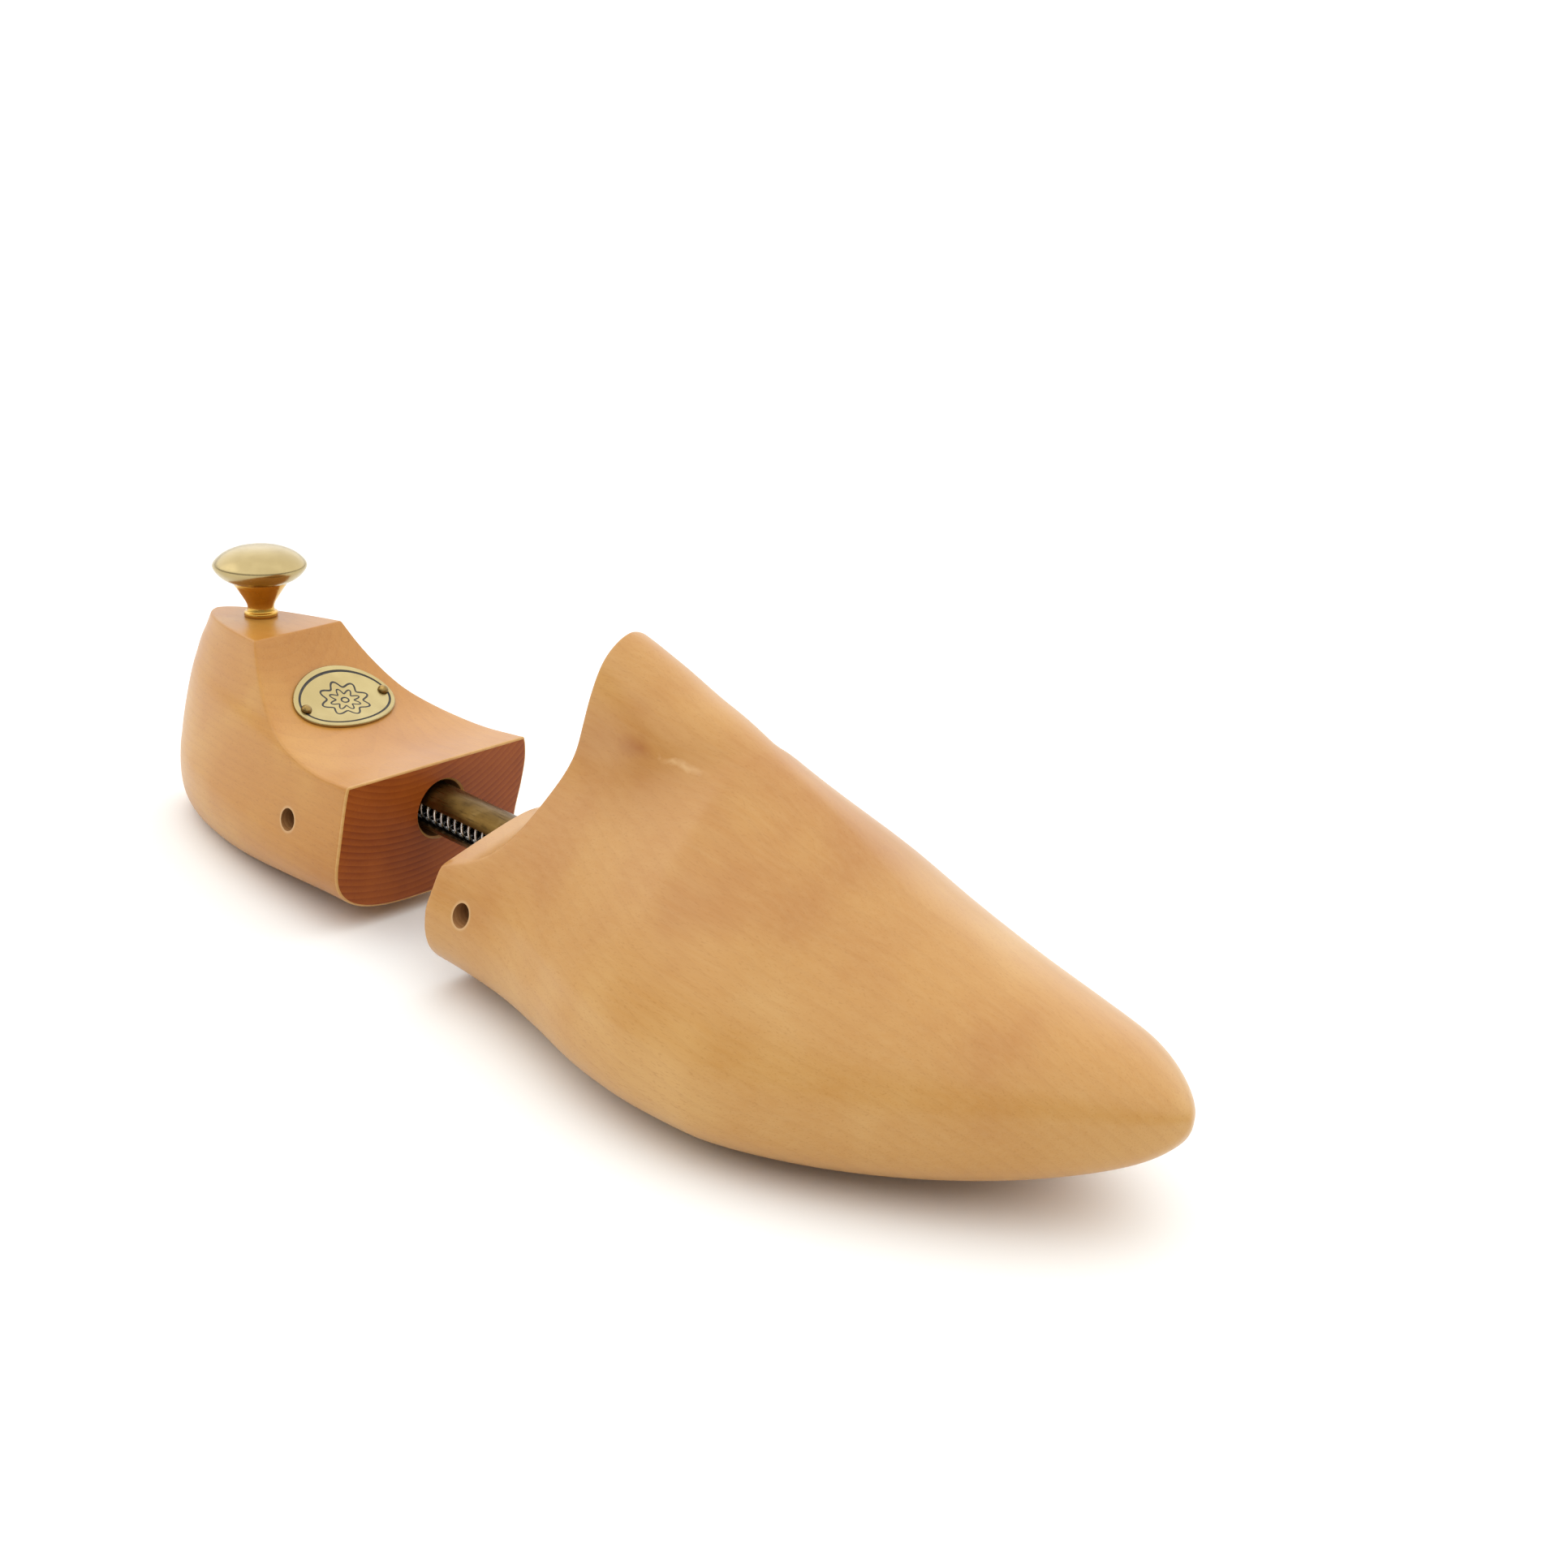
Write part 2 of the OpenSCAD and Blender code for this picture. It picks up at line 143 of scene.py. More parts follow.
def revolved(profile, origin, axis, start=0.0, turns=96):
    """Grid of a turned surface: each [radius, height] pair of the profile is
    swept round the axis through origin, height measured along the axis."""
    axis = unit(np.array(axis, float))
    side = unit(np.cross(axis, [0.0, 0.0, 1.0] if abs(axis[2]) < 0.9 else [1.0, 0.0, 0.0]))
    other = np.cross(axis, side)
    a = np.linspace(0, 2 * np.pi, turns + 1)[None, :, None] + start
    r, h = (np.array(profile, float)[:, k][:, None, None] for k in (0, 1))
    return np.array(origin, float) + r * (np.cos(a) * side + np.sin(a) * other) + h * axis


def cut(target, tools, sharp):
    """Takes the tools out of the target for good and removes them. The new
    faces keep the tools' material."""
    for tool in tools:
        m = target.modifiers.new("cut", "BOOLEAN")
        m.operation, m.solver, m.object = "DIFFERENCE", "EXACT", tool
        m.material_mode = "TRANSFER"
    bpy.context.view_layer.update()
    done = target.evaluated_get(bpy.context.evaluated_depsgraph_get())
    mesh = bpy.data.meshes.new_from_object(done)
    target.modifiers.clear()
    old, target.data = target.data, mesh
    bpy.data.meshes.remove(old)
    mesh.name = target.name
    mesh.polygons.foreach_set("use_smooth", np.ones(len(mesh.polygons), bool))
    mesh.set_sharp_from_angle(angle=math.radians(sharp))
    for tool in tools:
        bpy.data.objects.remove(tool)


def linear(hexa):
    """sRGB hex, such as C89A5E, to a linear colour with alpha."""
    c = np.array([int(hexa[k:k + 2], 16) for k in (0, 2, 4)]) / 255
    c = np.where(c <= 0.04045, c / 12.92, ((c + 0.055) / 1.055) ** 2.4)
    return (*c.tolist(), 1.0)


def add(tree, kind, links=(), **settings):
    """Adds a node. A setting named like an input sets that socket, any other
    sets the node's own property; links are (input, source socket) pairs."""
    node = tree.nodes.new("ShaderNode" + kind)
    for key, value in settings.items():
        if hasattr(node, key):
            setattr(node, key, value)
    for key, value in settings.items():
        if not hasattr(node, key):
            node.inputs[key.replace("_", " ")].default_value = value
    for key, source in links:
        tree.links.new(source, node.inputs[key])
    return node


def ramp(tree, source, stops, smooth="EASE"):
    """Colour ramp whose stops are (place, hex colour) pairs."""
    node = add(tree, "ValToRGB", [("Fac", source)])
    node.color_ramp.interpolation = smooth
    while len(node.color_ramp.elements) < len(stops):
        node.color_ramp.elements.new(0.5)
    for e, (place, colour) in zip(node.color_ramp.elements, stops):
        e.position, e.color = place, linear(colour)
    return node.outputs["Color"]


def band(tree, source, low, high, a=0.0, b=1.0):
    """Map Range: source from low..high to a..b, held at the ends."""
    node = add(tree, "MapRange", [("Value", source)], clamp=True)
    for key, value in (("From Min", low), ("From Max", high), ("To Min", a), ("To Max", b)):
        node.inputs[key].default_value = value
    return node.outputs["Result"]


def sums(tree, how, a, b):
    """Math on a socket and a number or another socket."""
    node = add(tree, "Math", operation=how)
    for k, v in ((0, a), (1, b)):
        if isinstance(v, (int, float)):
            node.inputs[k].default_value = v
        else:
            tree.links.new(v, node.inputs[k])
    return node.outputs[0]


def blended(tree, fac, a, b, how="MIX"):
    """Mix of two colours by fac; each of the three may be a socket."""
    node = add(tree, "Mix", data_type="RGBA", blend_type=how)
    for k, v in ((0, fac), (6, a), (7, b)):
        if isinstance(v, bpy.types.NodeSocket):
            tree.links.new(v, node.inputs[k])
        else:
            node.inputs[k].default_value = linear(v) if isinstance(v, str) else v
    return node.outputs[2]


def new_material(name, **shader):
    """A material with one Principled shader, and its node tree."""
    m = bpy.data.materials.new(name)
    m.use_nodes = True
    tree = m.node_tree
    tree.nodes.clear()
    out = add(tree, "OutputMaterial")
    bsdf = add(tree, "BsdfPrincipled")
    for key, value in shader.items():
        bsdf.inputs[key.replace("_", " ")].default_value = value
    tree.links.new(bsdf.outputs[0], out.inputs["Surface"])
    return m, tree, bsdf


def near_axis(tree, where, point, direction, inner, outer):
    """1 within inner millimetres of a line through point, falling to 0 at
    outer: the length of (where - point) x direction."""
    shift = add(tree, "VectorMath", [(0, where)], operation="SUBTRACT")
    shift.inputs[1].default_value = point
    cross = add(tree, "VectorMath", [(0, shift.outputs[0])], operation="CROSS_PRODUCT")
    cross.inputs[1].default_value = direction
    size = add(tree, "VectorMath", [(0, cross.outputs[0])], operation="LENGTH")
    return band(tree, size.outputs["Value"], inner, outer, 1.0, 0.0)


def lime_wood(name, pith, heart, spacing, holes, knot=None, depth=0.3):
    """Turned lime or beech under satin varnish: long fibres along X, growth
    rings as cylinders round the pith line, short flecks, and at each pin hole a
    pale ring on the rim, which is a painted highlight, with a darker ring
    further out."""
    m, tree, bsdf = new_material(name, Roughness=0.4, IOR=1.5,
                                 Specular_IOR_Level=0.25, Coat_Weight=0.35,
                                 Coat_Roughness=0.26, Coat_IOR=1.48)
    place = add(tree, "TexCoord").outputs["Object"]
    mm = add(tree, "Mapping", [("Vector", place)], Scale=(1000, 1000, 1000)).outputs[0]
    bend = add(tree, "TexNoise", [("Vector", mm)], Scale=0.016, Detail=2.0)
    lean = add(tree, "VectorMath", [(0, bend.outputs["Color"])], operation="SCALE", Scale=9.0)
    at = add(tree, "VectorMath", [(0, mm), (1, lean.outputs[0])], operation="ADD").outputs[0]
    # growth rings, a few millimetres apart, drawn at their real spacing
    rings_at = add(tree, "Mapping", [("Vector", at)], Location=pith[0], Rotation=pith[1]).outputs[0]
    rings = add(tree, "TexWave", [("Vector", rings_at)], wave_type="RINGS",
                rings_direction="X", wave_profile="SAW", Scale=0.314 / spacing,
                Distortion=1.1, Detail=2.0)
    rings.inputs["Detail Scale"].default_value = 0.35
    # fibres: 60 mm long and under 1 mm wide
    along = add(tree, "Mapping", [("Vector", at)], Scale=(0.016, 0.9, 0.9)).outputs[0]
    fibre = add(tree, "TexNoise", [("Vector", along)], Scale=1.0, Detail=5.0, Roughness=0.62)
    # flecks: the cut ends of the rays, 1.3 mm long, drawn a little wider than real
    dash = add(tree, "Mapping", [("Vector", at)], Scale=(0.75, 3.6, 3.6)).outputs[0]
    fleck = add(tree, "TexNoise", [("Vector", dash)], Scale=1.0, Detail=1.0, Roughness=0.4)
    patch = add(tree, "TexNoise", [("Vector", at)], Scale=0.022, Detail=3.0, Roughness=0.55)
    tone = ramp(tree, patch.outputs["Fac"], [(0.3, heart[0]), (0.52, heart[1]), (0.72, heart[2])])
    late = band(tree, rings.outputs["Fac"], 0.55, 1.0)
    tone = blended(tree, sums(tree, "MULTIPLY", late, depth), tone, heart[3])
    tone = blended(tree, band(tree, fibre.outputs["Fac"], 0.35, 0.75, 0.0, 0.2), tone, heart[4])
    tone = blended(tree, band(tree, fleck.outputs["Fac"], 0.58, 0.78, 0.0, 0.32), tone, heart[3])
    # knot: an orange smear and, beside it, a pale wrinkled line
    for centre, reach, colour, depth_in, wander in knot or ():
        stir = add(tree, "TexNoise", [("Vector", mm)], Scale=0.22, Detail=3.0)
        sway = add(tree, "VectorMath", [(0, stir.outputs["Color"])], operation="SCALE", Scale=wander)
        away = add(tree, "VectorMath", [(0, mm), (1, sway.outputs[0])], operation="ADD")
        off = add(tree, "VectorMath", [(0, away.outputs[0])], operation="SUBTRACT")
        off.inputs[1].default_value = tuple(c + wander / 2 for c in centre)
        flat = add(tree, "Mapping", [("Vector", off.outputs[0])], Scale=tuple(1 / r for r in reach))
        far = add(tree, "VectorMath", [(0, flat.outputs[0])], operation="LENGTH").outputs["Value"]
        tone = blended(tree, band(tree, far, 1.0, 0.1, 0.0, depth_in), tone, colour)
    for point, direction, size in holes:
        # pale ring at the hole's rim: a painted highlight; then a wider, darker ring round it
        ring = near_axis(tree, mm, point, direction, size, size + 0.7)
        tone = blended(tree, sums(tree, "MULTIPLY", ring, 0.4), tone, "E6CFA2")
        ring = near_axis(tree, mm, point, direction, size + 0.4, size + 3.5)
        tone = blended(tree, sums(tree, "MULTIPLY", ring, 0.2), tone, "A8743E")
    tree.links.new(tone, bsdf.inputs["Base Color"])
    tree.links.new(band(tree, fibre.outputs["Fac"], 0.3, 0.8, 0.36, 0.46), bsdf.inputs["Roughness"])
    raised = sums(tree, "ADD", fibre.outputs["Fac"], fleck.outputs["Fac"])
    grain = add(tree, "Bump", [("Height", raised)], Strength=0.06, Distance=0.0001)
    tree.links.new(grain.outputs[0], bsdf.inputs["Normal"])
    return m


def end_grain(name, pith, dark, light, spacing):
    """Sawn end grain under varnish: rings as circles round the pith, with the
    late wood of each ring darker, and fine rays that run out from the pith."""
    m, tree, bsdf = new_material(name, Roughness=0.5, IOR=1.5,
                                 Specular_IOR_Level=0.2, Coat_Weight=0.08,
                                 Coat_Roughness=0.3, Coat_IOR=1.48)
    place = add(tree, "TexCoord").outputs["Object"]
    mm = add(tree, "Mapping", [("Vector", place)], Scale=(1000, 1000, 1000)).outputs[0]
    at = add(tree, "Mapping", [("Vector", mm)], Location=pith).outputs[0]
    rings = add(tree, "TexWave", [("Vector", at)], wave_type="RINGS", rings_direction="X",
                wave_profile="SAW", Scale=0.314 / spacing, Distortion=1.3, Detail=3.0)
    rings.inputs["Detail Scale"].default_value = 0.25
    pores = add(tree, "TexNoise", [("Vector", mm)], Scale=1.7, Detail=2.0)
    blot = add(tree, "TexNoise", [("Vector", mm)], Scale=0.07, Detail=2.0)
    tone = ramp(tree, blot.outputs["Fac"], [(0.3, dark[0]), (0.7, dark[1])])
    tone = blended(tree, band(tree, rings.outputs["Fac"], 0.1, 1.0, 0.0, 0.42), tone, light)
    tone = blended(tree, band(tree, pores.outputs["Fac"], 0.5, 0.75, 0.0, 0.3), tone, dark[0])
    tree.links.new(tone, bsdf.inputs["Base Color"])
    fine = add(tree, "Bump", [("Height", pores.outputs["Fac"])], Strength=0.15, Distance=0.0001)
    tree.links.new(fine.outputs[0], bsdf.inputs["Normal"])
    return m


def heel_width(z):
    """Half width of the block at height z, on the outer side."""
    return curve([[17, 30.2], [24, 29.6], [31.5, 28.9], [36, 28.2], [38.7, 26.9],
                  [44, 25.4], [48, 24.4], [54, 22.9]], z)


def heel_side(s, z0, k):
    """Point of the heel's skin. x goes from the face back by the share s of
    the length at that height; the half width is multiplied by sin(a), where
    cos(a)^nose = s. k below 1 draws the outline in towards the underside."""
    back = curve([[17, -20.8], [24, -21.4], [33, -20.8], [42, -18.8], [47, -16.7], [54, -14.3]], z0)
    nose = curve([[17, 1.05], [24, 1.3], [36, 1.73], [42, 1.87], [54, 2.1]], z0)
    c = s ** (1 / nose)
    sine = np.sqrt(np.maximum(0, 1 - c * c))
    draw = (1 - k) * (10 + 17 * sine**2)
    return HEEL_FACE - (HEEL_FACE - back - draw * c) * s, sine * (heel_width(z0) - draw)


def saddle_height(x):
    """Height of the saddle's hollow at x, along the middle of the block."""
    return curve([[14.4, 52.8], [18, 48.4], [22, 44.5], [26, 41.4], [30, 39.1], [35, 37.3],
                  [40, 36.2], [45, 35.6], [50, 35.3], [55, 35.4], [60, 35.9], [66, 36.6]], x)


def heel_top(x):
    """Height of the sawn top: the lower of the sloping flat and the saddle,
    with the ridge between them eased over a quarter of a millimetre."""
    flat = DECK_HEIGHT + DECK_SLOPE * x
    saddle = saddle_height(x) + 1.3 * np.maximum(0, DECK_EDGE - x)
    return 0.5 * (flat + saddle) - 0.5 * np.sqrt((flat - saddle) ** 2 + 0.06)


def heel_cut(s):
    """Height at which the skin at share s meets the sawn top, by halving."""
    low, high = np.full_like(s, 30.0), np.full_like(s, 56.0)
    for _ in range(40):
        mid = (low + high) / 2
        x = heel_side(s, mid, 1.0)[0]
        above = mid > heel_top(x)
        low, high = np.where(above, low, mid), np.where(above, mid, high)
    return (low + high) / 2


def drawn_in(z, side):
    """Share of the half width left on one side at height z: all of it on the
    outer side, less towards the sole on the inner one."""
    if side < 0:
        return np.ones_like(z)
    return curve([[0, 0.8], [10, 0.82], [18, 0.86], [25, 0.925], [31, 0.965], [36, 0.965],
                  [44, 0.955], [54, 0.94]], z)


def heel_loops():
    """Closed loops round the block, one for each share of its length from the
    back (1) to the front face (0): centre of the top, eased edge, side,
    underside, and the same again on the other side."""
    probe = np.linspace(0, 1, 4001)
    edge = probe[np.argmin(np.abs(heel_side(probe, heel_cut(probe), 1.0)[0] - DECK_EDGE))]
    a = np.concatenate([1 - (1 - edge - 0.012) * np.linspace(0, 1, 40) ** 2,
                        edge + np.linspace(0.007, -0.007, 9),
                        np.linspace(edge - 0.014, 0.014, 56), [0.0]])
    top = heel_cut(a)
    halves = []
    for side in (1.0, -1.0):
        def at(z0, k, z):
            """Skin points at outline height z0 and draw k, set at height z."""
            x, y = heel_side(a, z0, k)
            return np.stack([x, side * drawn_in(z, side) * y, z], -1)
        corner = at(top, 1.0, top)
        below = at(top - 1.0, 1.0, top - 1.0)
        inward = np.stack([0 * a, np.full_like(a, -side), 0 * a], -1)
        size = np.minimum(0.55, 0.45 * np.abs(corner[:, 1]))[:, None]
        arc = eased_edge(corner, unit(below - corner), inward, size)[::-1]
        inner = arc[0]
        t = np.linspace(0, 1, 13)[:, None, None]
        across = inner * np.array([1, 0, 1]) + inner * np.array([0, 1, 0]) * t
        drop = top - size[:, 0] * np.abs(unit(below - corner)[:, 2])
        rows = [across[:-1], arc]
        t = np.linspace(0, 1, 30)[1:]
        rows.append(np.stack([at(drop + (17 - drop) * u, 1.0, drop + (17 - drop) * u) for u in t]))
        under = []
        for v in np.linspace(0, 1, 20)[1:]:
            k = max(math.cos(v * math.pi / 2), 0.0) ** 0.74
            x = heel_side(a, np.full_like(a, 17.0), k)[0]
            u = np.clip((x - 12) / 53, 0, 1)
            floor = -0.5 + 4 * u * u * (3 - 2 * u)
            z = np.maximum(0, 17 - (17 - floor) * math.sin(v * math.pi / 2) ** 0.74)
            under.append(at(np.full_like(a, 17.0), k, z))
        rows.append(np.stack(under))
        last = under[-1]
        t = np.linspace(1, 0, 12)[1:, None, None]
        rows.append(last * np.array([1, 0, 1]) + last * np.array([0, 1, 0]) * t)
        halves.append(np.concatenate(rows))
    return np.concatenate([halves[0], halves[1][::-1]])     # loop place x angle


def closed_face(rim, centre, inset, reach):
    """Flat face inside a closed rim: an eased edge whose inward direction is
    the rim's own normal in the YZ plane, then rings that shrink to a point."""
    here = rim.copy()
    along = unit(np.roll(here, -1, 0) - np.roll(here, 1, 0) + 1e-9)
    normal = np.stack([0 * along[:, 0], -along[:, 2], along[:, 1]], -1)
    if np.sum(normal * (centre - here)) < 0:
        normal = -normal
    back = np.broadcast_to(np.array([-reach, 0.0, 0.0]), here.shape)
    arc = eased_edge(here, back, unit(normal), inset)
    t = np.linspace(0, 1, 12)[:, None, None]
    rings = arc[-1] + (centre - arc[-1]) * t
    return np.concatenate([arc, rings[1:]])


heel_honey = lime_wood(
    "heel_lime_wood_satin_varnish", ((0, 7, -75), (0.0, 0.03, 0.03)),
    ("A86D28", "B47B33", "BF8C42", "8D541C", "C59754"), 2.3,
    [((HEEL_PIN_X - 122.8, 2.26, 24.4), PIN_LINE, 2.55)], depth=0.11)
# front face: end grain darker than the sides, with painted shade added to its colour
heel_end_grain_and_shade = end_grain("heel_end_grain_with_painted_shade", (0, 7, -75), ("77340A", "8B4411"), "AF6121", 1.6)
bare_bore = end_grain("bored_bare_wood", (60, 20, -20), ("8A5E36", "9A6C42"), "B58A5A", 1.1)
# lighter copy of the heel's wood for the front face's eased rim and the bore's chamfer: a painted
# highlight
edge_highlight_honey = lime_wood("heel_edge_painted_highlight_lime_wood", ((0, 7, -75), (0.0, 0.03, 0.03)),
                       ("B88744", "C49758", "CCA668", "AA7334", "D1B075"), 2.3, [])

loops = heel_loops()
face_rim = loops[:, -1]
n_face = closed_face(face_rim[:-1], np.array([HEEL_FACE, TUBE_Y, TUBE_Z]), 0.5, 1.0)
n_face = np.concatenate([n_face, n_face[:, :1]], 1)
skin = loops.copy()
skin[:, -1] = np.concatenate([n_face[0, :-1], n_face[0, :1]])
heel = piece("heel_block_turned", [(skin, 0), (n_face[:5], 2), (n_face[4:], 1)],
             [heel_honey, heel_end_grain_and_shade, edge_highlight_honey])
tube_line = (1.0, 0.0, 0.0)
# the bore's chamfer, the second run, takes the lighter wood as a painted highlight on its rim
bore_runs = (([[0, 3], [5.85, 3], [5.85, 57.8], [7.0, 57.8], [7.0, 64.3]], 0),
             ([[7.0, 64.3], [8.05, 65.35]], 1), ([[8.05, 65.35], [0, 65.35]], 0))
heel_bore = piece("heel_bore_tool", [(revolved(run, (0, TUBE_Y, TUBE_Z), tube_line), slot)
                                     for run, slot in bore_runs], [bare_bore, edge_highlight_honey])


def pin_tools(x, reach, hole=2.45, recess=2.55):
    """Drill for one cross pin: a long thin cylinder with a wider one over each
    end, all leaning with the pin."""
    profile = [[0, -46], [recess, -46], [recess, -reach], [hole, -reach], [hole, reach],
               [recess, reach], [recess, 46], [0, 46]]
    drill = revolved(profile, (x, TUBE_Y, TUBE_Z), PIN_LINE, turns=64)
    return piece("pin_drill", [(drill, 0)], [bare_bore])


cut(heel, [heel_bore, pin_tools(HEEL_PIN_X, 19.0)], 32)
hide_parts("heel_block")
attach(heel, "heel")

# ---------------------------------------------------------------- forepart
# The same lime wood, turned as one block from ball to toe with a tall spur at
# the instep, and hollowed behind it by a drum cutter so that a shoe's quarters
# clear it. The rims of the hollow are eased by hand before varnishing.
FORE_FACE = 95.0
FORE_LONG = 172.0
FORE_PIN_X = FORE_FACE + 11.0


def fore_point(x, b, side):
    """Point of the forepart's skin at x from its rear face. b from 0 to 1 runs
    from the underside to the widest height on a flattened ellipse; from 1 to 2
    it climbs the shoulder, whose half width is the cube-root sum of a rounded
    dome and of the thin spur, up to the ridge."""
    top = curve([[0, 87.5], [15, 87], [25, 85.4], [35, 82.2], [45, 78.4], [55, 75.6], [65, 72.3],
                 [85, 65.1], [105, 54.9], [125, 47], [145, 41.3], [172, 35]], x)
    dome = np.where(x > 65, top, np.minimum(top, curve([[0, 57], [10, 60], [25, 63.5], [45, 68],
                                                        [65, 72.3]], x)))
    low = curve([[0, 1.5], [25, 1.2], [50, 0.1], [70, -0.5], [90, -0.4], [110, 1.1], [130, 4.2],
                 [145, 8], [160, 13.3], [172, 16.5]], x)
    wide = curve([[0, 18.5], [35, 17], [75, 17.2], [105, 18.4], [135, 21.1], [160, 25.7],
                  [172, 27.6]], x)
    middle = curve([[0, 0], [55, -1], [80, -1.1], [100, -0.3], [120, 2], [140, 5.7], [155, 8.6],
                    [172, 9.8]], x)
    half = np.where(x < 90, curve([[0, 31.6], [10, 31.9], [25, 33.7], [40, 37.5], [55, 42.1],
                                   [70, 44.7], [83, 45.2], [90, 45.2], [97, 45.1]], x),
                    45.2 * np.maximum(0, 1 - np.clip((x - 90) / 82, 0, 1) ** 1.27) ** 0.646)
    spur = np.maximum(0, curve([[0, 11], [25, 11.9], [45, 14.8], [65, 12.5], [85, 6.6], [100, 0],
                                [172, 0]], x))
    full = curve([[0, 1.3], [45, 1.3], [65, 1.4], [105, 1.8], [145, 2], [172, 2]], x)
    soft = curve([[0, 0.85], [45, 0.8], [65, 0.75], [105, 0.6], [145, 0.5], [172, 0.5]], x)
    flat = np.where(x < 150, 1, np.sqrt(np.maximum(0, 1 - np.clip((x - 150) / 22, 0, 1) ** 2.5)))
    e = np.clip(b, 0, 1) * np.pi / 2
    under = b <= 1
    z = np.where(under, wide - (wide - low) * np.maximum(0, np.cos(e)) ** 0.74,
                 wide + (top - wide) * np.sin(np.clip(b - 1, 0, 1) * np.pi / 2))
    u = np.clip((z - wide) / np.maximum(dome - wide, 1e-6), 0, 1)
    u = (np.sqrt(u * u + 0.0004) - 0.02) / (math.sqrt(1.0004) - 0.02)
    w = np.clip((z - wide) / np.maximum(top - wide, 1e-6), 0, 1)
    root = np.clip(w / 0.14, 0, 1)
    spur = spur * root * root * (3 - 2 * root)
    shoulder = ((half * np.maximum(0, 1 - u**full) ** soft) ** 3
                + (spur * np.sqrt(np.maximum(0, 1 - w**7))) ** 3) ** (1 / 3)
    y = middle + side * np.where(under, half * np.sin(e) ** 0.74, shoulder)
    return np.stack([FORE_FACE + x, y, np.maximum(0, wide + (z - wide) * flat)], -1)


def hollow(y, z):
    """How far the rear surface lies ahead of the flat rear face. The drum's
    path gives x at the height z plus a drop to either side, 0.3 (sqrt(y^2 +
    36) - 6); the larger of that and 0 is taken, eased over 0.4 mm."""
    h = z + 0.3 * (np.sqrt(y * y + 36) - 6)
    path = np.array([[-8, 32], [0, 35.5], [7, 38], [12, 41], [16.5, 46], [19.5, 52.5], [21.8, 59.5],
                     [23.2, 68], [24, 76], [24.4, 81.5], [25, 85], [26.5, 90]])
    fine = np.linspace(-8, 26.5, 1400)
    x = np.interp(h, curve(path, fine), fine) - 1.6 * np.maximum(0, 32 - h)
    return 0.5 * (x + np.sqrt(x * x + 0.12))


def fore_start(b, side):
    """Where the skin line b meets the rear surface: x = hollow(y, z), found
    by halving."""
    low, high = np.zeros_like(b), np.full_like(b, 27.5)
    for _ in range(40):
        mid = (low + high) / 2
        p = fore_point(mid, b, side)
        ahead = mid > hollow(p[:, 1], p[:, 2])
        low, high = np.where(ahead, low, mid), np.where(ahead, mid, high)
    return (low + high) / 2


def fore_skin(b, side, ease_by):
    """Skin of one side as rows from the rear rim to the toe, with the rim
    pulled back by the easing, closer rows towards the toe's tight curve."""
    start = fore_start(b, side)
    t = np.linspace(0, 1, 150)[:, None]
    x = start + ease_by + (FORE_LONG - start - ease_by) * (1 - (1 - t) ** 1.7)
    return start, fore_point(x, np.broadcast_to(b, x.shape), side)


def share(parts):
    """Joins evenly spaced runs of numbers, each (from, to, how many)."""
    runs = [np.linspace(p, q, n)[(k > 0):] for k, (p, q, n) in enumerate(parts)]
    return np.concatenate(runs)


fore_honey = lime_wood(
    "forepart_lime_wood_satin_varnish", ((-20, 30, 15), (0.0, -0.22, 0.16)),
    ("B0793C", "BB8949", "C39658", "99622A", "C9A46B"), 3.2,
    [((FORE_PIN_X - 122.8, 2.26, 24.4), PIN_LINE, 2.55)],
    knot=(((16.0, -13.5, 64.0), (24.0, 14.0, 17.0), "9A5E24", 0.4, 6.0),
          ((13.0, -12.5, 67.5), (6.0, 3.0, 3.0), "8F4C1A", 0.5, 4.0),
          ((24.5, -12.0, 67.5), (10.0, 1.3, 1.3), "E9C795", 0.36, 5.0)), depth=0.1)


